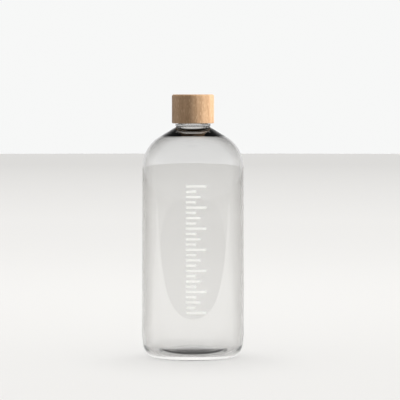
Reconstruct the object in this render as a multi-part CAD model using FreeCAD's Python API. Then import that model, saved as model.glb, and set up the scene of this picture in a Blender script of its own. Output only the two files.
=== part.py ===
"""Glass water bottle with a turned beech screw cap, in millimetres, +Z up.

The origin is the middle of the ring that the bottle stands on. Every round piece is turned about
the Z axis, and the printed level marks face -Y. The cap is in its closed place.
"""
import FreeCAD, Part
import math
import os

# Overall sizes
overall_height = 228.0
body_radius = 44.3          # outside of the glass just above the heel
body_draft = 0.4            # how much narrower it is where the shoulder starts

# Glass body
wall = 2.0                  # side wall and shoulder
base_thickness = 3.2
heel_lean = 10.5            # degrees that the heel leans in before it rolls under
heel_sweep = 65.0           # large radius from the wall into the lean
heel_corner = 12.0          # radius that rolls under to the ring
ring_width = 2.2            # flat land that the bottle stands on
push_up_height = 5.5        # rise of the base at its middle
push_up_side = 2.6          # rise of the base just inside the ring
push_up_step = 1.8          # width of that step
shoulder_radius = 31.3
shoulder_slope = 31.0       # degrees that the upper shoulder falls away from level
mould_dot_radius = 2.4      # small raised dot left by the mould under the base
mould_dot_height = 0.4
dome_round = 90.0           # crown of the push-up
push_up_round = 1.5
ring_round = 0.5
floor_round = 6.0           # where the inside floor turns down towards the heel
heel_spare = 0.05           # short straight between the heel's two arcs

# Neck and its screw finish
bead_reach = 2.7            # how far the ring below the cap stands out of the neck
bead_height = 2.9
cap_gap = 0.5               # between the bead and the cap's lower edge
finish_height = 17.8        # from the bead to the rim
neck_radius = 12.6          # outside of the neck between the thread ridges
neck_wall = 2.35
rim_round = 0.7
bead_undercut = 0.5
bead_undercut_height = 1.0
bead_round = 0.6
bead_root_round = 0.5
neck_foot_round = 1.2
bore_foot_round = 3.0
root_slope = 20.0           # degrees, inner face across the thick root of the neck
root_margin = 2.0           # from the shoulder's sweep in to where the root begins
root_round = 12.0

# Screw thread, right-hand, one start
thread_lead = 25.4 / 6
ridge_height = 1.12
ridge_base = 2.38
ridge_tip = 1.2
ridge_depth_in_wall = 0.2   # how far a ridge is rooted in the wall that carries it
glass_thread_turns = 1.5
insert_thread_turns = 1.4
thread_start_below_rim = 2.8
thread_run_out = 50.0       # degrees over which a ridge grows out of the wall
thread_end_share = 0.12     # of its full size, where a ridge begins and ends
thread_sections_per_turn = 18
thread_flank_gap = 0.18     # along the axis, on the side that carries the load
thread_crest_gap = 0.28     # between each ridge's crest and the other wall

# Cap pieces
cap_wall = 2.45
cap_top_thickness = 4.1
cap_edge_round = 1.7
cap_lip_round = 0.8
insert_wall = 1.6
insert_ceiling = 1.6
insert_recess = 0.5         # insert's lower edge above the cap's lower edge
insert_fit = 0.2            # between the insert's wall and the wood, bridged by its ribs
insert_rib_bite = 0.05      # how far each rib presses into the wood
insert_rib_count = 24
insert_rib_width = 0.9
insert_mouth_round = 0.4
gasket_thickness = 2.0
gasket_fit = 0.4            # between the gasket and the insert's wall
gasket_overhang = 0.75      # how far the gasket reaches inside the bore

# Printed level marks
ink_thickness = 0.12
mark_left = -5.8            # left ends of the marks, seen from the front
mark_height = 1.9
long_mark = 17.4
middle_mark = 12.6
short_mark = 8.6
first_level_ml = 200
long_level_ml = 100         # each level with a long mark, the last of them below the shoulder
middle_level_ml = 50
short_level_ml = 25

# Places along the axis
cap_height = finish_height - cap_gap + gasket_thickness + insert_ceiling + cap_top_thickness
cap_bottom = overall_height - cap_height
bead_top = cap_bottom - cap_gap
bead_bottom = bead_top - bead_height
rim = bead_top + finish_height
insert_under_ceiling = rim + gasket_thickness
insert_top = insert_under_ceiling + insert_ceiling
insert_bottom = cap_bottom + insert_recess

# Radii, and what screws together
body_radius_top = body_radius - body_draft
bead_radius = neck_radius + bead_reach
bore_radius = neck_radius - neck_wall
ridge_lean = (ridge_base - ridge_tip) / 2 / ridge_height
glass_ridge_crest = neck_radius + ridge_height
insert_inner_radius = glass_ridge_crest + thread_crest_gap
insert_ridge_crest = neck_radius + thread_crest_gap
insert_outer_radius = insert_inner_radius + insert_wall
cap_bore_radius = insert_outer_radius + insert_fit
cap_radius = cap_bore_radius + cap_wall
gasket_inner_radius = bore_radius - gasket_overhang
gasket_outer_radius = insert_inner_radius - gasket_fit
glass_thread_low = rim - thread_start_below_rim - thread_lead * glass_thread_turns
# The insert's ridge lies just under the glass one, where a tightened cap pulls against it
ridges_apart = (ridge_tip + ridge_base) / 2 - ridge_lean * thread_crest_gap + thread_flank_gap
insert_thread_low = glass_thread_low - ridges_apart

axis_point = FreeCAD.Vector(0, 0, 0)
axis_way = FreeCAD.Vector(0, 0, 1)
same_place = 1e-6           # points this near are one point
same_height = 1e-3


def outline(corners):
    """Closed face in the XZ plane from (radius, height, rounding) corners, rounded by tangent arcs."""
    places = [FreeCAD.Vector(radius, 0, height) for radius, height, rounding in corners]
    rounded = []
    for i, (radius, height, rounding) in enumerate(corners):
        here = places[i]
        if rounding == 0:
            rounded.append((here, None, here))
            continue
        back = (places[i - 1] - here).normalize()
        ahead = (places[(i + 1) % len(places)] - here).normalize()
        half = back.getAngle(ahead) / 2
        reach = rounding / math.tan(half)
        inset = rounding / math.sin(half) - rounding
        middle = here + (back + ahead).normalize() * inset
        rounded.append((here + back * reach, middle, here + ahead * reach))
    edges = []
    for i, (start, middle, end) in enumerate(rounded):
        if middle is not None:
            edges.append(Part.Arc(start, middle, end).toShape())
        next_start = rounded[(i + 1) % len(rounded)][0]
        if end.distanceToPoint(next_start) > same_place:
            edges.append(Part.LineSegment(end, next_start).toShape())
    return Part.Face(Part.Wire(edges))


def turned(corners):
    """Solid turned about the Z axis from an outline's corners."""
    return outline(corners).revolve(axis_point, axis_way, 360)


def tube(inner, outer, low, high):
    """Plain ring between two radii and two heights."""
    body = Part.makeCylinder(outer, high - low, FreeCAD.Vector(0, 0, low))
    return body.cut(Part.makeCylinder(inner, high - low, FreeCAD.Vector(0, 0, low)))


def ridge(root_radius, crest_radius, low, turns):
    """Right-hand thread ridge rooted in a wall at root_radius, with ends that taper away."""
    outward = 1 if crest_radius > root_radius else -1
    buried_radius = root_radius - outward * ridge_depth_in_wall
    count = round(turns * thread_sections_per_turn)
    wires = []
    for k in range(count + 1):
        turned_by = turns * 360 * k / count
        from_end = min(turned_by, turns * 360 - turned_by)
        share = thread_end_share + (1 - thread_end_share) * min(1.0, from_end / thread_run_out)
        crest = root_radius + (crest_radius - root_radius) * share
        half_tip = ridge_tip / 2 * share
        half_base = half_tip + ridge_lean * abs(crest - buried_radius)
        height = low + thread_lead * turned_by / 360
        section = [
            FreeCAD.Vector(buried_radius, 0, height - half_base),
            FreeCAD.Vector(crest, 0, height - half_tip),
            FreeCAD.Vector(crest, 0, height + half_tip),
            FreeCAD.Vector(buried_radius, 0, height + half_base),
        ]
        wire = Part.makePolygon(section + section[:1])
        wire.rotate(axis_point, axis_way, turned_by)
        wires.append(wire)
    return Part.makeLoft(wires, True, False)


def heel(floor, inset):
    """The heel's wall corner, its floor corner and its inner edge, set in from the outside."""
    lean = math.radians(heel_lean)
    sweep = heel_sweep - inset
    corner = heel_corner - inset
    roll = corner * math.tan((math.pi / 2 - lean) / 2)
    leaning = sweep * math.tan(lean / 2) + roll + heel_spare
    at_wall = (body_radius - inset, floor + leaning * math.cos(lean), sweep)
    at_floor = (at_wall[0] - leaning * math.sin(lean), floor, corner)
    return at_wall, at_floor, at_floor[0] - roll


def slope_drop(across):
    """How far the straight part of the shoulder falls over a distance across."""
    return across * math.tan(math.radians(shoulder_slope))


def shoulder_corner_height():
    """Where the shoulder's straight slope, drawn on, meets the wall."""
    return bead_bottom - slope_drop(body_radius_top - bead_radius)


def wall_radius_at(height):
    """Outside radius of the drafted wall between the heel and the shoulder."""
    low = heel(0, 0)[0][1]
    return body_radius - body_draft * (height - low) / (shoulder_corner_height() - low)


def glass_outside():
    """Outer form of the bottle, filled in, from the push-up to the rim."""
    at_wall, at_floor, ring_outer = heel(0, 0)
    ring_inner = ring_outer - ring_width
    dome_edge = ring_inner - push_up_step
    neck_foot = bead_radius - bead_undercut
    corners = [
        (0, push_up_height - mould_dot_height, 0),
        (mould_dot_radius, push_up_height - mould_dot_height, 0),
        (mould_dot_radius + mould_dot_height, push_up_height, 0),
        (dome_edge / 2, push_up_height, dome_round),
        (dome_edge, push_up_side, push_up_round),
        (ring_inner, 0, ring_round),
        (ring_outer, 0, 0),
        at_floor,
        at_wall,
        (body_radius_top, shoulder_corner_height(), shoulder_radius),
        (neck_foot, bead_bottom + slope_drop(bead_undercut), neck_foot_round),
        (neck_foot, bead_bottom + bead_undercut_height, 0),
        (bead_radius, bead_bottom + bead_undercut_height + bead_undercut, 0),
        (bead_radius, bead_top, bead_round),
        (neck_radius, bead_top, bead_root_round),
        (neck_radius, rim, rim_round),
        (0, rim, 0),
    ]
    return turned(corners)


def glass_inside():
    """Room for the drink, from the floor to the rim."""
    at_wall, at_floor, floor_edge = heel(base_thickness, wall)
    dome_height = push_up_height + base_thickness
    dome_edge = heel(0, 0)[2] - ring_width - push_up_step
    slant = math.radians(shoulder_slope)
    slope_radius = bead_radius - wall * math.sin(slant)
    slope_height = bead_bottom - wall * math.cos(slant)
    top_radius = body_radius_top - wall
    top_height = slope_height - slope_drop(top_radius - slope_radius)
    sweep = shoulder_radius - wall
    sweep_reach = sweep * math.tan(math.radians(90 - shoulder_slope) / 2) * math.cos(slant)
    root_radius = top_radius - sweep_reach - root_margin
    root_height = top_height + slope_drop(top_radius - root_radius)
    bore_foot = root_height + (root_radius - bore_radius) * math.tan(math.radians(root_slope))
    corners = [
        (0, dome_height, 0),
        (dome_edge / 2, dome_height, dome_round),
        (dome_edge, push_up_side + base_thickness, floor_round),
        (floor_edge, base_thickness, 0),
        at_floor,
        at_wall,
        (top_radius, top_height, sweep),
        (root_radius, root_height, root_round),
        (bore_radius, bore_foot, bore_foot_round),
        (bore_radius, rim, 0),
        (0, rim, 0),
    ]
    return turned(corners)


def is_inner_rim(edge):
    """True for the circle where the bore meets the rim."""
    at_rim = abs(edge.BoundBox.ZMin - rim) < same_height
    return at_rim and abs(edge.BoundBox.XMax - bore_radius) < same_height


def is_bore(face):
    """True for the mouth's straight inner wall."""
    return isinstance(face.Surface, Part.Cylinder) and abs(face.Surface.Radius - bore_radius) < same_height


def glass_bottle():
    """Blown bottle with its screw finish."""
    shell = glass_outside().cut(glass_inside())
    shell = shell.makeFillet(rim_round, [edge for edge in shell.Edges if is_inner_rim(edge)])
    return shell.fuse(ridge(neck_radius, glass_ridge_crest, glass_thread_low, glass_thread_turns))


def wood_cap():
    """Turned beech shell, open below."""
    ceiling = overall_height - cap_top_thickness
    return turned([
        (0, overall_height, 0),
        (0, ceiling, 0),
        (cap_bore_radius, ceiling, 0),
        (cap_bore_radius, cap_bottom, 0),
        (cap_radius, cap_bottom, cap_lip_round),
        (cap_radius, overall_height, cap_edge_round),
    ])


def thread_insert():
    """Plastic liner with the screw thread, held in the wood by ribs."""
    liner = turned([
        (0, insert_top, 0),
        (0, insert_under_ceiling, 0),
        (insert_inner_radius, insert_under_ceiling, 0),
        (insert_inner_radius, insert_bottom, insert_mouth_round),
        (insert_outer_radius, insert_bottom, insert_mouth_round),
        (insert_outer_radius, insert_top, insert_mouth_round),
    ])
    rib_out = cap_bore_radius + insert_rib_bite
    rib_in = insert_outer_radius - insert_wall / 2
    rib_low = insert_bottom + 2 * insert_mouth_round
    rib_high = insert_top - 2 * insert_mouth_round
    for k in range(insert_rib_count):
        rib = Part.makeBox(rib_out - rib_in, insert_rib_width, rib_high - rib_low,
                           FreeCAD.Vector(rib_in, -insert_rib_width / 2, rib_low))
        rib.rotate(axis_point, axis_way, 360 * k / insert_rib_count)
        liner = liner.fuse(rib)
    return liner.fuse(ridge(insert_inner_radius, insert_ridge_crest, insert_thread_low, insert_thread_turns))


def sealing_gasket():
    """Flat silicone ring that the cap presses onto the rim."""
    return tube(gasket_inner_radius, gasket_outer_radius, rim, rim + gasket_thickness)


def millilitres_below(inside, height):
    """Volume of drink up to a height in the straight part of the body."""
    return inside.common(Part.makeCylinder(body_radius, height)).Volume / 1000


def level_marks():
    """Printed bars on the front, long at each 100 ml, middle at each 50 ml and short between."""
    inside = glass_inside()
    straight_low = heel(base_thickness, wall)[0][1]
    rounding_reach = shoulder_radius / math.tan(math.radians(45 + shoulder_slope / 2))
    straight_high = shoulder_corner_height() - rounding_reach - mark_height
    held_low = millilitres_below(inside, straight_low)
    held_high = millilitres_below(inside, straight_high)
    last_level_ml = int(held_high // long_level_ml) * long_level_ml
    ink = turned([
        (wall_radius_at(straight_low), straight_low, 0),
        (wall_radius_at(straight_low) + ink_thickness, straight_low, 0),
        (wall_radius_at(straight_high) + ink_thickness, straight_high, 0),
        (wall_radius_at(straight_high), straight_high, 0),
    ])
    groups = {"print_long_marks": [], "print_short_marks": []}
    for level in range(first_level_ml, last_level_ml + 1, short_level_ml):
        share = (level - held_low) / (held_high - held_low)
        height = straight_low + (straight_high - straight_low) * share
        if level % long_level_ml == 0:
            name, length = "print_long_marks", long_mark
        elif level % middle_level_ml == 0:
            name, length = "print_short_marks", middle_mark
        else:
            name, length = "print_short_marks", short_mark
        place = FreeCAD.Vector(mark_left, -2 * body_radius, height - mark_height / 2)
        bar = Part.makeBox(length, 2 * body_radius, mark_height, place)
        groups[name].append(ink.common(bar).Solids[0])
    return {name: Part.makeCompound(bars) for name, bars in groups.items()}


def main():
    os.makedirs("parts", exist_ok=True)
    pieces = {
        "glass_bottle": glass_bottle(),
        "wood_cap": wood_cap(),
        "thread_insert": thread_insert(),
        "sealing_gasket": sealing_gasket(),
    }
    pieces.update(level_marks())
    for name, shape in pieces.items():
        shape.exportStep(f"parts/{name}.step")
        print(name, len(shape.Solids), "solid(s), valid", shape.isValid(), "volume", round(shape.Volume, 1))
    print("brimful capacity, ml:", round(glass_inside().Volume / 1000, 1))
    ring_outer = heel(0, 0)[2]
    print("standing ring, outer and inner radius:", round(ring_outer, 2), round(ring_outer - ring_width, 2))
    bores = [face for face in pieces["glass_bottle"].Faces if is_bore(face)]
    print("bore wall, low and high:", [(round(f.BoundBox.ZMin, 2), round(f.BoundBox.ZMax, 2)) for f in bores])


main()
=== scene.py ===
import math
import bpy
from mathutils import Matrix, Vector


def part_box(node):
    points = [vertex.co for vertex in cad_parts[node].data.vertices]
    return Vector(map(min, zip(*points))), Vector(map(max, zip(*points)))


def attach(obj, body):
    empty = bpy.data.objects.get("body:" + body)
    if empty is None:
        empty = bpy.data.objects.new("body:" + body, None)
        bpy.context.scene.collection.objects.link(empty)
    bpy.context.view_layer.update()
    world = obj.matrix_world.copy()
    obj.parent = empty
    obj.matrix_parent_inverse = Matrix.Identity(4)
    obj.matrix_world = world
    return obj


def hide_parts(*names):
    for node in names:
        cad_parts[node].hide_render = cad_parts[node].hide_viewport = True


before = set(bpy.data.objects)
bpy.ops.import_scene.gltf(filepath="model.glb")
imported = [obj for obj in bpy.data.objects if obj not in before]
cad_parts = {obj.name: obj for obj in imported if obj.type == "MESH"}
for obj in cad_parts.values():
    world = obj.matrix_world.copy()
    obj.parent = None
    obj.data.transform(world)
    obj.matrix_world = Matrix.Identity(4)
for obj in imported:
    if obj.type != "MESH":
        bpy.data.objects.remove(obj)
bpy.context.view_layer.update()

mm = 0.001


# shared steps for turning a piece

drawing = {
    "profileMerge": 0.001 * mm,
    "turnMerge": 0.002 * mm,
    "fewestArcSteps": 2,
    "smoothAngle": math.radians(35),
}


def deselectAll():
    bpy.ops.object.select_all(action="DESELECT")


def startLine(name, radius, height):
    # a small plane merged into one point is the pencil that draws the profile
    deselectAll()
    bpy.ops.mesh.primitive_plane_add(size=mm)
    piece = bpy.context.object
    piece.name = name
    bpy.ops.object.mode_set(mode="EDIT")
    bpy.ops.mesh.merge(type="CENTER")
    bpy.ops.transform.translate(value=(radius, 0, height))
    return piece


def drawLine(here, there):
    bpy.ops.mesh.extrude_region_move(TRANSFORM_OT_translate={"value": there - here})
    return there


def drawArc(here, centre, there, degreesPerStep):
    spoke = here - centre
    endSpoke = there - centre
    turn = spoke.angle(endSpoke)
    axis = endSpoke.cross(spoke).normalized()    # the spin operator turns left-handed
    steps = max(drawing["fewestArcSteps"], round(math.degrees(turn) / degreesPerStep))
    bpy.ops.mesh.spin(steps=steps, angle=turn, center=centre, axis=axis)
    return there


def drawProfile(name, corners, degreesPerStep, closed=False):
    # corners are (radius, height, rounding); a rounding is an arc that touches both sides
    places = [Vector((radius, 0, height)) for radius, height, rounding in corners]
    here = places[0]
    piece = startLine(name, here.x, here.z)
    for i in range(1, len(corners)):
        rounding = corners[i][2]
        corner = places[i]
        if rounding == 0:
            here = drawLine(here, corner)
            continue
        back = (places[i - 1] - corner).normalized()
        ahead = (places[(i + 1) % len(places)] - corner).normalized()
        half = back.angle(ahead) / 2
        reach = rounding / math.tan(half)
        centre = corner + (back + ahead).normalized() * rounding / math.sin(half)
        here = drawLine(here, corner + back * reach)
        here = drawArc(here, centre, corner + ahead * reach, degreesPerStep)
    if closed:
        drawLine(here, places[0])
    bpy.ops.mesh.select_all(action="SELECT")
    bpy.ops.mesh.remove_doubles(threshold=drawing["profileMerge"])
    return piece


def turnProfile(piece, steps):
    bpy.ops.mesh.select_all(action="SELECT")
    bpy.ops.mesh.spin(steps=steps, angle=2 * math.pi, center=(0, 0, 0), axis=(0, 0, 1))
    bpy.ops.mesh.select_all(action="SELECT")
    bpy.ops.mesh.remove_doubles(threshold=drawing["turnMerge"])
    bpy.ops.mesh.normals_make_consistent(inside=False)
    bpy.ops.object.mode_set(mode="OBJECT")
    bpy.ops.object.shade_smooth_by_angle(angle=drawing["smoothAngle"])
    return piece


def safeRadius(node):
    # the largest turned radius that stays inside the node's box
    low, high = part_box(node)
    return min(-low[0], high[0], -low[1], high[1])


# shared steps for materials; settings with capital letters are the names of node sockets

mixSockets = {"FLOAT": (2, 3, 0), "RGBA": (6, 7, 2)}    # first input, second input and output


def grey(value):
    return (value, value, value)


def opaque(colour):
    return (*colour, 1)


def setNode(node, **settings):
    for key, value in settings.items():
        if key in node.inputs:
            node.inputs[key].default_value = value
        else:
            setattr(node, key, value)
    return node


def addNode(tree, kind, **settings):
    return setNode(tree.nodes.new(kind), **settings)


def newMaterial(name):
    material = bpy.data.materials.new(name)
    material.use_nodes = True
    tree = material.node_tree
    shader = tree.nodes["Principled BSDF"]
    return material, tree, shader


def setMaterial(piece, material):
    piece.data.materials.clear()
    piece.data.materials.append(material)


def feed(tree, source, socket):
    # a source is another node's output or a plain value
    if isinstance(source, bpy.types.NodeSocket):
        tree.links.new(source, socket)
    else:
        socket.default_value = source


def blend(tree, kind, amount, first, second):
    firstSocket, secondSocket, result = mixSockets[kind]
    node = addNode(tree, "ShaderNodeMix", data_type=kind)
    feed(tree, amount, node.inputs["Factor"])
    feed(tree, first, node.inputs[firstSocket])
    feed(tree, second, node.inputs[secondSocket])
    return node.outputs[result]


def ramp(tree, source, places, colours):
    node = tree.nodes.new("ShaderNodeValToRGB")
    elements = node.color_ramp.elements
    while len(elements) < len(places):
        elements.new(0.5)    # moved to its own place below
    for element, place, colour in zip(elements, places, colours):
        element.position = place
        element.color = opaque(colour)
    tree.links.new(source, node.inputs[0])
    return node.outputs[0]


def greyRamp(tree, source, places, values):
    return ramp(tree, source, places, [grey(value) for value in values])


def objectPlaces(tree, stretch=(1, 1, 1), move=(0, 0, 0)):
    places = addNode(tree, "ShaderNodeTexCoord")
    mapping = addNode(tree, "ShaderNodeMapping", Scale=stretch, Location=move)
    tree.links.new(places.outputs["Object"], mapping.inputs["Vector"])
    return mapping.outputs["Vector"]


def noise(tree, grain, stretch=(1, 1, 1)):
    node = addNode(tree, "ShaderNodeTexNoise", **grain)
    tree.links.new(objectPlaces(tree, stretch), node.inputs["Vector"])
    return node.outputs["Fac"]


def addBump(tree, shader, height, settings):
    bump = addNode(tree, "ShaderNodeBump", **settings)
    tree.links.new(height, bump.inputs["Height"])
    tree.links.new(bump.outputs["Normal"], shader.inputs["Normal"])


def mottle(tree, shader, look):
    # one noise varies the colour and the gloss together
    cloud = noise(tree, look["grain"])
    tree.links.new(ramp(tree, cloud, look["stops"], look["tones"]), shader.inputs["Base Color"])
    tree.links.new(greyRamp(tree, cloud, look["stops"], look["rough"]), shader.inputs["Roughness"])
    return cloud


def fadeAlong(tree, place, limits, start, end):
    ends = {"From Min": limits[0], "From Max": limits[1], "To Min": start, "To Max": end}
    fade = addNode(tree, "ShaderNodeMapRange", **ends)
    tree.links.new(place, fade.inputs["Value"])
    return fade.outputs["Result"]


print("frame loaded:", sorted(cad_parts))


# glass bottle

bottleShape = {
    "wall": 2.0 * mm,
    "draft": 0.4 * mm,
    "baseThickness": 3.2 * mm,
    "heelLean": math.radians(10.5),
    "heelSweep": 65 * mm,
    "heelCorner": 12 * mm,
    "heelMargin": 0.05 * mm,
    "ringWidth": 2.2 * mm,
    "ringRound": 0.5 * mm,
    "pushUp": 5.5 * mm,
    "pushUpSide": 2.6 * mm,
    "pushUpStep": 1.8 * mm,
    "pushUpRound": 1.5 * mm,
    "floorRound": 6 * mm,
    "domeRound": 90 * mm,
    "dotRadius": 2.4 * mm,
    "dotHeight": 0.4 * mm,
    "dotRound": 0.25 * mm,
    "shoulderRadius": 31.3 * mm,
    "shoulderSlope": math.radians(31),
    "neckRadius": 12.6 * mm,
    "neckWall": 2.35 * mm,
    "neckFootRound": 0.5 * mm,
    "rimRound": 0.7 * mm,
    "beadReach": 2.7 * mm,
    "beadHeight": 2.9 * mm,
    "beadTopRound": 0.6 * mm,
    "beadUndercut": 0.5 * mm,
    "beadUndercutHeight": 1.0 * mm,
    "beadUndercutRound": 1.2 * mm,
    "boreRound": 3 * mm,
    "rootSlope": math.radians(20),
    "rootMargin": 2.0 * mm,
    "rootRound": 12 * mm,
    "finishHeight": 17.8 * mm,
    "degreesPerStep": 4,
    "stepsRound": 256,
}


def heelCorners(shape, radius, floor, inset):
    lean = shape["heelLean"]
    sweep = shape["heelSweep"] - inset
    corner = shape["heelCorner"] - inset
    roll = corner * math.tan((math.pi / 2 - lean) / 2)
    leaning = sweep * math.tan(lean / 2) + roll + shape["heelMargin"]
    atWall = (radius - inset, floor + leaning * math.cos(lean), sweep)
    atFloor = (radius - inset - leaning * math.sin(lean), floor, corner)
    return atWall, atFloor, atFloor[0] - roll


def makeBottle(shape):
    radius = safeRadius("glass_bottle")
    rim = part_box("glass_bottle")[1][2]
    beadTop = rim - shape["finishHeight"]
    beadLow = beadTop - shape["beadHeight"]
    bead = shape["neckRadius"] + shape["beadReach"]
    undercut = shape["beadUndercut"]
    bore = shape["neckRadius"] - shape["neckWall"]
    slope = math.tan(shape["shoulderSlope"])
    topRadius = radius - shape["draft"]
    outWall, outFloor, ringOut = heelCorners(shape, radius, 0, 0)
    inWall, inFloor, floorEdge = heelCorners(shape, radius, shape["baseThickness"], shape["wall"])
    ringIn = ringOut - shape["ringWidth"]
    domeEdge = ringIn - shape["pushUpStep"]
    slopeRadius = bead - shape["wall"] * math.sin(shape["shoulderSlope"])
    slopeHeight = beadLow - shape["wall"] * math.cos(shape["shoulderSlope"])
    innerTop = topRadius - shape["wall"]
    innerTopHeight = slopeHeight - (innerTop - slopeRadius) * slope
    sweep = shape["shoulderRadius"] - shape["wall"]
    sweepReach = sweep * math.tan((math.pi / 2 - shape["shoulderSlope"]) / 2)
    root = innerTop - sweepReach * math.cos(shape["shoulderSlope"]) - shape["rootMargin"]
    rootHeight = innerTopHeight + (innerTop - root) * slope
    boreFoot = rootHeight + (root - bore) * math.tan(shape["rootSlope"])
    dome = shape["pushUp"]
    dot = shape["dotRadius"]
    inside = shape["baseThickness"]
    outer = [
        (0, dome - shape["dotHeight"], 0),
        (dot, dome - shape["dotHeight"], shape["dotRound"]),
        (dot + shape["dotHeight"], dome, shape["dotRound"]),
        (domeEdge / 2, dome, shape["domeRound"]),
        (domeEdge, shape["pushUpSide"], shape["pushUpRound"]),
        (ringIn, 0, shape["ringRound"]),
        (ringOut, 0, 0),
        outFloor,
        outWall,
        (topRadius, beadLow - (topRadius - bead) * slope, shape["shoulderRadius"]),
        (bead - undercut, beadLow + undercut * slope, shape["beadUndercutRound"]),
        (bead - undercut, beadLow + shape["beadUndercutHeight"], 0),
        (bead, beadLow + shape["beadUndercutHeight"] + undercut, 0),
        (bead, beadTop, shape["beadTopRound"]),
        (shape["neckRadius"], beadTop, shape["neckFootRound"]),
        (shape["neckRadius"], rim, shape["rimRound"]),
    ]
    inner = [
        (bore, rim, shape["rimRound"]),
        (bore, boreFoot, shape["boreRound"]),
        (root, rootHeight, shape["rootRound"]),
        (innerTop, innerTopHeight, sweep),
        inWall,
        inFloor,
        (floorEdge, inside, 0),
        (domeEdge, shape["pushUpSide"] + inside, shape["floorRound"]),
        (domeEdge / 2, dome + inside, shape["domeRound"]),
        (0, dome + inside, 0),
    ]
    piece = drawProfile("bottleGlass", outer + inner, shape["degreesPerStep"])
    return turnProfile(piece, shape["stepsRound"])


threadShape = {
    "lead": 25.4 / 6 * mm,
    "turns": 1.5,
    "belowRim": 2.8 * mm,
    "height": 1.12 * mm,
    "tip": 1.2 * mm,
    "base": 2.38 * mm,
    "buried": 0.2 * mm,
    "runOut": 50,         # degrees over which an end grows out of the neck
    "endShare": 0.12,     # how much of its height an end starts with
    "degreesPerStep": 5,
}


def makeThread(shape, neckRadius):
    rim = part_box("glass_bottle")[1][2]
    low = rim - shape["belowRim"] - shape["lead"] * shape["turns"]
    root = neckRadius - shape["buried"]
    full = shape["height"] + shape["buried"]
    flank = (shape["base"] - shape["tip"]) / 2 / shape["height"] * full
    steps = round(shape["turns"] * 360 / shape["degreesPerStep"])
    stepTurn = math.radians(shape["degreesPerStep"])
    rise = shape["lead"] * shape["degreesPerStep"] / 360

    def sizeAt(k):
        fromEnd = min(k, steps - k) * shape["degreesPerStep"]
        share = shape["endShare"] + (1 - shape["endShare"]) * min(1, fromEnd / shape["runOut"])
        return (shape["buried"] + shape["height"] * share) / full

    small = sizeAt(0)
    tip = small * shape["tip"] / 2
    base = small * (shape["tip"] / 2 + flank)
    crest = root + full * small
    section = [(root, low - base, 0), (crest, low - tip, 0), (crest, low + tip, 0), (root, low + base, 0)]
    ridge = drawProfile("threadRidge", section, shape["degreesPerStep"], closed=True)
    bpy.ops.mesh.edge_face_add()
    for k in range(1, steps + 1):
        # a step on round the neck, up by its share of the lead, then swollen or drawn in
        bpy.ops.mesh.spin(steps=1, angle=stepTurn, center=(0, 0, 0), axis=(0, 0, -1))
        bpy.ops.transform.translate(value=(0, 0, rise))
        middle = (root * math.cos(k * stepTurn), root * math.sin(k * stepTurn), low + k * rise)
        growth = sizeAt(k) / sizeAt(k - 1)
        bpy.ops.transform.resize(value=(growth, growth, growth), center_override=middle)
    bpy.ops.mesh.select_all(action="SELECT")
    bpy.ops.mesh.normals_make_consistent(inside=False)
    bpy.ops.object.mode_set(mode="OBJECT")
    return ridge


def fuseInto(piece, extra):
    deselectAll()
    piece.select_set(True)
    bpy.context.view_layer.objects.active = piece
    union = piece.modifiers.new("fuse", "BOOLEAN")
    union.operation = "UNION"
    union.solver = "EXACT"
    union.object = extra
    bpy.ops.object.modifier_apply(modifier="fuse")
    bpy.data.objects.remove(extra, do_unlink=True)
    bpy.ops.object.shade_smooth_by_angle(angle=drawing["smoothAngle"])


glassLook = {
    "index": 1.5,
    "tint": (0.985, 0.985, 0.982),
    # edge-on colour: partly the glass's own tint, partly painted shade
    "rimTintAndShade": (0.60, 0.59, 0.58),
    "rimStops": (0.38, 0.9),
    "rimBlend": 0.5,
    "smoke": (0.515, 0.505, 0.485),
    "smokeDensity": 76.0,
    "waves": {"Scale": 1.0, "Detail": 2.0, "Roughness": 0.5},
    "waveStretch": (70, 70, 6),
    "waveBump": {"Strength": 0.03, "Distance": 0.001},
    "smudges": {"Scale": 28.0, "Detail": 4.0, "Roughness": 0.6},
    "smudgeStops": (0.5, 0.75),
    "smudgeRough": (0.0, 0.03),
}


def makeGlass(look):
    material, tree, shader = newMaterial("smokyGlass")
    setNode(shader, **{"Transmission Weight": 1, "IOR": look["index"]})
    # seen edge on, the glass is darker: partly its longer path through the wall, partly painted shade for
    # the dark surroundings seen at the edges
    edge = addNode(tree, "ShaderNodeLayerWeight", Blend=look["rimBlend"])
    tint = ramp(tree, edge.outputs["Facing"], look["rimStops"], (look["tint"], look["rimTintAndShade"]))
    tree.links.new(tint, shader.inputs["Base Color"])
    # blown glass is never quite even: long soft waves up the wall
    addBump(tree, shader, noise(tree, look["waves"], look["waveStretch"]), look["waveBump"])
    # a few handling smudges, only just rougher than the polish
    polish = greyRamp(tree, noise(tree, look["smudges"]), look["smudgeStops"], look["smudgeRough"])
    tree.links.new(polish, shader.inputs["Roughness"])
    smoke = addNode(tree, "ShaderNodeVolumeAbsorption", Color=opaque(look["smoke"]))
    setNode(smoke, Density=look["smokeDensity"])
    tree.links.new(smoke.outputs["Volume"], tree.nodes["Material Output"].inputs["Volume"])
    return material


bottle = makeBottle(bottleShape)
fuseInto(bottle, makeThread(threadShape, bottleShape["neckRadius"]))
setMaterial(bottle, makeGlass(glassLook))
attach(bottle, "bottle")
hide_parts("glass_bottle")
bottle.visible_shadow = False    # lamps reach through the glass, which would else throw a black shade
print("bottle turned:", len(bottle.data.polygons), "faces")


# beech cap

capShape = {
    "wall": 2.45 * mm,
    "top": 4.1 * mm,
    "ceilingRound": 0.3 * mm,
    "mouthRound": 0.2 * mm,
    "edgeRound": 1.7 * mm,
    "lipRound": 0.8 * mm,
    "degreesPerStep": 9,
    "stepsRound": 192,
}


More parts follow.
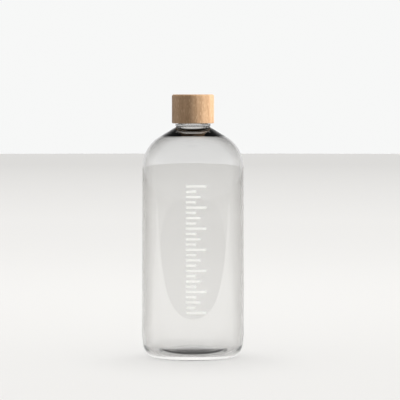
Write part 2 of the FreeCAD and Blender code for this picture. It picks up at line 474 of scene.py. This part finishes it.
def makeCap(shape):
    low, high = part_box("wood_cap")
    radius = safeRadius("wood_cap")
    bore = radius - shape["wall"]
    ceiling = high[2] - shape["top"]
    corners = [
        (0, ceiling, 0),
        (bore, ceiling, shape["ceilingRound"]),
        (bore, low[2], shape["mouthRound"]),
        (radius, low[2], shape["lipRound"]),
        (radius, high[2], shape["edgeRound"]),
        (0, high[2], 0),
    ]
    piece = drawProfile("capBeech", corners, shape["degreesPerStep"])
    return turnProfile(piece, shape["stepsRound"])


beechLook = {
    "dark": (0.40, 0.24, 0.13),
    "middle": (0.52, 0.325, 0.185),
    "light": (0.63, 0.41, 0.245),
    "toneStops": (0.36, 0.5, 0.64),
    "rings": {"Scale": 55, "Distortion": 5.0, "Detail": 4.0, "Detail Scale": 1.6, "Detail Roughness": 0.65},
    "ringStretch": (1, 1, 0.05),
    "heart": (0.031, 0.024, 0),
    "cloudy": {"Scale": 1.0, "Detail": 4.0, "Roughness": 0.6},
    "cloudyStretch": (190, 190, 45),
    "cloudyShare": 0.78,
    "fibres": {"Scale": 1.0, "Detail": 5.0, "Roughness": 0.7},
    "fibreStretch": (1500, 1500, 210),
    "fibreShare": 0.55,
    "rays": {
        "colour": (0.80, 0.58, 0.36),
        "stretch": (620, 620, 170),
        "move": (0.3, 0.1, 0.7),
        "stops": (0.16, 0.34),
        "strength": (0.5, 0.0),
    },
    "pores": {
        "colour": (0.27, 0.14, 0.065),
        "stretch": (1250, 1250, 300),
        "move": (0, 0, 0),
        "stops": (0.12, 0.26),
        "strength": (0.55, 0.0),
    },
    "bump": {"Strength": 0.35, "Distance": 0.0003},
    "roughStops": (0.3, 0.7),
    "rough": (0.64, 0.44),
}


def flecks(tree, settings):
    cells = addNode(tree, "ShaderNodeTexVoronoi", feature="F1", Scale=1.0, Randomness=1.0)
    tree.links.new(objectPlaces(tree, settings["stretch"], settings["move"]), cells.inputs["Vector"])
    return greyRamp(tree, cells.outputs["Distance"], settings["stops"], settings["strength"])


def makeBeech(look):
    material, tree, shader = newMaterial("oiledBeech")
    # growth rings round a heart that lies outside the cap: straight soft bands down the side, arcs on top
    rings = addNode(tree, "ShaderNodeTexWave", wave_type="RINGS", rings_direction="Z", wave_profile="SIN")
    setNode(rings, **look["rings"])
    tree.links.new(objectPlaces(tree, look["ringStretch"], look["heart"]), rings.inputs["Vector"])
    cloudy = noise(tree, look["cloudy"], look["cloudyStretch"])
    fibres = noise(tree, look["fibres"], look["fibreStretch"])
    broad = blend(tree, "FLOAT", look["cloudyShare"], rings.outputs["Fac"], cloudy)
    grain = blend(tree, "FLOAT", look["fibreShare"], broad, fibres)
    colour = ramp(tree, grain, look["toneStops"], (look["dark"], look["middle"], look["light"]))
    # short pale rays and short dark pores, both standing along the grain
    rays = flecks(tree, look["rays"])
    pores = flecks(tree, look["pores"])
    colour = blend(tree, "RGBA", rays, colour, opaque(look["rays"]["colour"]))
    colour = blend(tree, "RGBA", pores, colour, opaque(look["pores"]["colour"]))
    tree.links.new(colour, shader.inputs["Base Color"])
    # the grain stands up a little under the oil, and the pores sink in
    height = addNode(tree, "ShaderNodeMath", operation="SUBTRACT")
    tree.links.new(fibres, height.inputs[0])
    tree.links.new(pores, height.inputs[1])
    addBump(tree, shader, height.outputs[0], look["bump"])
    tree.links.new(greyRamp(tree, grain, look["roughStops"], look["rough"]), shader.inputs["Roughness"])
    return material


cap = makeCap(capShape)
setMaterial(cap, makeBeech(beechLook))
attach(cap, "cap")
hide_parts("wood_cap")
print("cap turned:", len(cap.data.polygons), "faces")


# liner, gasket and printed marks keep their CAD shapes

linerLook = {
    "grain": {"Scale": 900.0, "Detail": 3.0, "Roughness": 0.6},
    "stops": (0.3, 0.7),
    "tones": ((0.74, 0.73, 0.69), (0.80, 0.79, 0.75)),
    "rough": (0.42, 0.5),
    "scatter": {
        "Subsurface Weight": 0.15,
        "Subsurface Radius": (0.002, 0.002, 0.0018),
        "Subsurface Scale": 1.0,
    },
    "bump": {"Strength": 0.08, "Distance": 0.0002},
}


def makeLinerPlastic(look):
    material, tree, shader = newMaterial("linerPlastic")
    setNode(shader, **look["scatter"])
    addBump(tree, shader, mottle(tree, shader, look), look["bump"])
    return material


siliconeLook = {
    "grain": {"Scale": 300.0, "Detail": 2.0, "Roughness": 0.5},
    "stops": (0.3, 0.7),
    "tones": ((0.72, 0.72, 0.7), (0.78, 0.78, 0.76)),
    "rough": (0.34, 0.46),
    "scatter": {
        "Subsurface Weight": 0.4,
        "Subsurface Radius": (0.003, 0.003, 0.003),
        "Subsurface Scale": 1.0,
    },
}


def makeSilicone(look):
    material, tree, shader = newMaterial("milkySilicone")
    setNode(shader, **look["scatter"])
    mottle(tree, shader, look)
    return material


inkLook = {
    "grain": {"Scale": 2400.0, "Detail": 2.0, "Roughness": 0.6},
    "stops": (0.3, 0.7),
    "tones": ((0.84, 0.84, 0.82), (0.9, 0.9, 0.88)),
    "rough": (0.28, 0.4),
    "through": (0.95, 0.95, 0.93),
    "throughShare": 0.5,
}


def makeInk(look):
    material, tree, shader = newMaterial("whiteEnamel")
    mottle(tree, shader, look)
    # thin enamel lets some of the light behind it glow through
    glow = addNode(tree, "ShaderNodeBsdfTranslucent", Color=opaque(look["through"]))
    mix = addNode(tree, "ShaderNodeMixShader", Fac=look["throughShare"])
    tree.links.new(shader.outputs["BSDF"], mix.inputs[1])
    tree.links.new(glow.outputs["BSDF"], mix.inputs[2])
    tree.links.new(mix.outputs["Shader"], tree.nodes["Material Output"].inputs["Surface"])
    return material


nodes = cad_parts
marks = [nodes["print_long_marks"], nodes["print_short_marks"]]
setMaterial(nodes["thread_insert"], makeLinerPlastic(linerLook))
setMaterial(nodes["sealing_gasket"], makeSilicone(siliconeLook))
ink = makeInk(inkLook)
for mark in marks:
    setMaterial(mark, ink)
print("liner, gasket and marks finished")


# floor

floorSet = {
    "radius": 6.9,
    "sides": 128,
    # the far tone is painted shade where the lamps' light would fall off
    "tones": ((0.82, 0.815, 0.805), (0.69, 0.685, 0.675)),
    "paintedFalloffFrom": (2.2, 5.5),
    "rough": 0.9,
}


def distanceOut(tree):
    reach = addNode(tree, "ShaderNodeVectorMath", operation="LENGTH")
    tree.links.new(objectPlaces(tree), reach.inputs[0])
    return reach.outputs["Value"]


def makeFloor(settings):
    deselectAll()
    radius = settings["radius"]
    bpy.ops.mesh.primitive_circle_add(vertices=settings["sides"], radius=radius, fill_type="NGON")
    floor = bpy.context.object
    floor.name = "floor"
    material, tree, shader = newMaterial("paleFloor")
    # painted shade: the floor darkens away from the bottle, standing in for light falling off
    paintedFalloff = fadeAlong(tree, distanceOut(tree), settings["paintedFalloffFrom"], 0, 1)
    tree.links.new(ramp(tree, paintedFalloff, (0, 1), settings["tones"]), shader.inputs["Base Color"])
    setNode(shader, **{"Roughness": settings["rough"], "Specular IOR Level": 0})
    setMaterial(floor, material)
    floor.visible_diffuse = False    # the table sends no light back up on matt pieces


# glowing sheets on the table that only show in or through the glass: painted reflections and a painted
# shadow

paintedLightSet = {
    # painted reflection: a bright glowing sheet seen only in the glass
    "paintedTableReflection": {
        "centre": 0.15,
        "reach": (5.4, 0.5),
        "height": 0.001,
        "glow": 2.2,
        "near": 0.7,
        "nearFrom": (0.08, 0.3),
        "back": 0.43,
        "backFrom": (-0.15, 0.2),
    },
    # painted reflection: a dim dark sheet seen only in the glass
    "paintedDarkReflection": {"centre": -4.0, "reach": (4.2, 4.0), "height": 0.0005, "glow": 0.1},
    # painted shadow: a dim sheet under the push-up, seen only through the glass
    "paintedContactShadow": {
        "centre": 0,
        "reach": (0.0288, 0.0288),
        "height": 0.0003,
        "glow": 0.72,
        "near": 0.1,
        "nearFrom": (0.017, 0.0288),
    },
}
paintedLightSides = 96
paintedGlowTint = (1, 1, 0.99)


def paintGlowShade(tree, shader, settings):
    # painted shade: the glow is dimmer close to the bottle, and on one sheet it also fades towards its back
    glow = settings["glow"]
    near = fadeAlong(tree, distanceOut(tree), settings["nearFrom"], settings["near"], 1)
    back = glow
    if "back" in settings:
        split = addNode(tree, "ShaderNodeSeparateXYZ")
        tree.links.new(objectPlaces(tree), split.inputs["Vector"])
        back = fadeAlong(tree, split.outputs["Y"], settings["backFrom"], glow, glow * settings["back"])
    strength = addNode(tree, "ShaderNodeMath", operation="MULTIPLY")
    feed(tree, back, strength.inputs[0])
    tree.links.new(near, strength.inputs[1])
    tree.links.new(strength.outputs[0], shader.inputs["Emission Strength"])


def makePaintedLight(name, settings):
    deselectAll()
    place = (0, settings["centre"], settings["height"])
    bpy.ops.mesh.primitive_circle_add(vertices=paintedLightSides, radius=1, fill_type="NGON", location=place)
    paintedSheet = bpy.context.object
    paintedSheet.name = name
    bpy.ops.transform.resize(value=(*settings["reach"], 1))
    bpy.ops.object.transform_apply(location=True, scale=True)
    material, tree, shader = newMaterial(name)
    setNode(shader, **{"Base Color": opaque(grey(0)), "Specular IOR Level": 0})
    # painted light: the sheet's glow shows only in the glass's reflections and through it
    setNode(shader, **{"Emission Color": opaque(paintedGlowTint), "Emission Strength": settings["glow"]})
    if "near" in settings:
        paintGlowShade(tree, shader, settings)
    material.cycles.emission_sampling = "NONE"
    setMaterial(paintedSheet, material)
    paintedSheet.visible_camera = paintedSheet.visible_diffuse = paintedSheet.visible_shadow = False
    return paintedSheet


# surroundings

roomSet = {
    "backdrop": (0.93, 0.935, 0.93),
    "fill": (0.36, 0.355, 0.345),
    "heightStops": (0.40, 0.50, 0.60, 0.70, 0.80, 1.00),
    "brightness": (0.70, 0.93, 0.93, 0.40, 0.08, 0.02),
}


def makeSurroundings(settings):
    world = bpy.data.worlds.new("studio")
    bpy.context.scene.world = world
    world.use_nodes = True
    tree = world.node_tree
    places = addNode(tree, "ShaderNodeTexCoord")
    split = addNode(tree, "ShaderNodeSeparateXYZ")
    tree.links.new(places.outputs["Generated"], split.inputs["Vector"])
    # from straight down to straight up: pale all round at eye level and dark overhead
    upward = fadeAlong(tree, split.outputs["Z"], (-1, 1), 0, 1)
    studio = greyRamp(tree, upward, settings["heightStops"], settings["brightness"])
    path = addNode(tree, "ShaderNodeLightPath")
    seen = blend(tree, "RGBA", path.outputs["Is Camera Ray"], studio, opaque(settings["backdrop"]))
    lit = blend(tree, "RGBA", path.outputs["Is Diffuse Ray"], seen, opaque(settings["fill"]))
    tree.links.new(lit, tree.nodes["Background"].inputs["Color"])


# lamps

lampSet = {
    "overhead": {
        "type": "SUN",
        "place": (0, 0.6, 3),
        "target": (0, 0, 0),
        "light": {"energy": 2.2, "angle": math.radians(40)},
    },
    "tablePool": {
        "type": "AREA",
        "place": (0, 0.6, 0.9),
        "target": (0, 0.6, 0),
        "light": {"energy": 0.8, "shape": "DISK", "size": 0.6},
    },
    "keyRight": {
        "type": "AREA",
        "place": (1.29, -0.13, 0.5),
        "target": (0, 0, 0.15),
        "light": {"energy": 33, "shape": "RECTANGLE", "size": 0.6, "size_y": 0.7},
    },
    "markLamp": {
        "type": "AREA",
        "place": (0.15, -1.0, 0.2),
        "target": (0, 0, 0.1),
        "light": {"energy": 10.5, "shape": "SQUARE", "size": 0.3},
    },
}


def lookingAlong(direction):
    return direction.to_track_quat("-Z", "Y")


def addLamp(name, settings):
    deselectAll()
    place = Vector(settings["place"])
    bpy.ops.object.light_add(type=settings["type"], location=place)
    lamp = bpy.context.object
    lamp.name = name
    for key, value in settings["light"].items():
        setattr(lamp.data, key, value)
    lamp.rotation_mode = "QUATERNION"
    lamp.rotation_quaternion = lookingAlong(Vector(settings["target"]) - place)
    lamp.visible_camera = lamp.visible_glossy = lamp.visible_transmission = False
    return lamp


def aimOnlyAt(lamp, pieces):
    # keeps the lamp's light on these pieces, off everything else
    receivers = bpy.data.collections.new(lamp.name + "Pieces")
    for piece in pieces:
        receivers.objects.link(piece)
    lamp.light_linking.receiver_collection = receivers


# camera

cameraSet = {
    "distance": 2.0,
    "height": 0.228,
    "aimHeight": 0.1365,
    "aside": 0.0061,
    "viewWidth": 0.3470,
    "sensor": 36.0,
    "clipStart": 0.05,
    "clipEnd": 50,
}


def makeCamera(settings):
    deselectAll()
    place = Vector((settings["aside"], -settings["distance"], settings["height"]))
    target = Vector((settings["aside"], 0, settings["aimHeight"]))
    bpy.ops.object.camera_add(location=place)
    camera = bpy.context.object
    camera.name = "camera"
    camera.data.sensor_width = settings["sensor"]
    camera.data.lens = settings["sensor"] * (target - place).length / settings["viewWidth"]
    camera.rotation_mode = "QUATERNION"
    camera.rotation_quaternion = lookingAlong(target - place)
    camera.data.clip_start = settings["clipStart"]
    camera.data.clip_end = settings["clipEnd"]
    bpy.context.scene.camera = camera


makeFloor(floorSet)
paintedLights = {name: makePaintedLight(name, settings) for name, settings in paintedLightSet.items()}
paintedLights["paintedTableReflection"].visible_transmission = False
paintedLights["paintedDarkReflection"].visible_transmission = False
paintedLights["paintedContactShadow"].visible_glossy = False    # painted contact shadow: a dim patch under the push-up, seen only through the glass
makeSurroundings(roomSet)
lamps = {name: addLamp(name, settings) for name, settings in lampSet.items()}
aimOnlyAt(lamps["keyRight"], [cap])
aimOnlyAt(lamps["markLamp"], marks)
makeCamera(cameraSet)
bpy.context.scene.view_settings.view_transform = "Standard"
print("stage, lights and camera set")
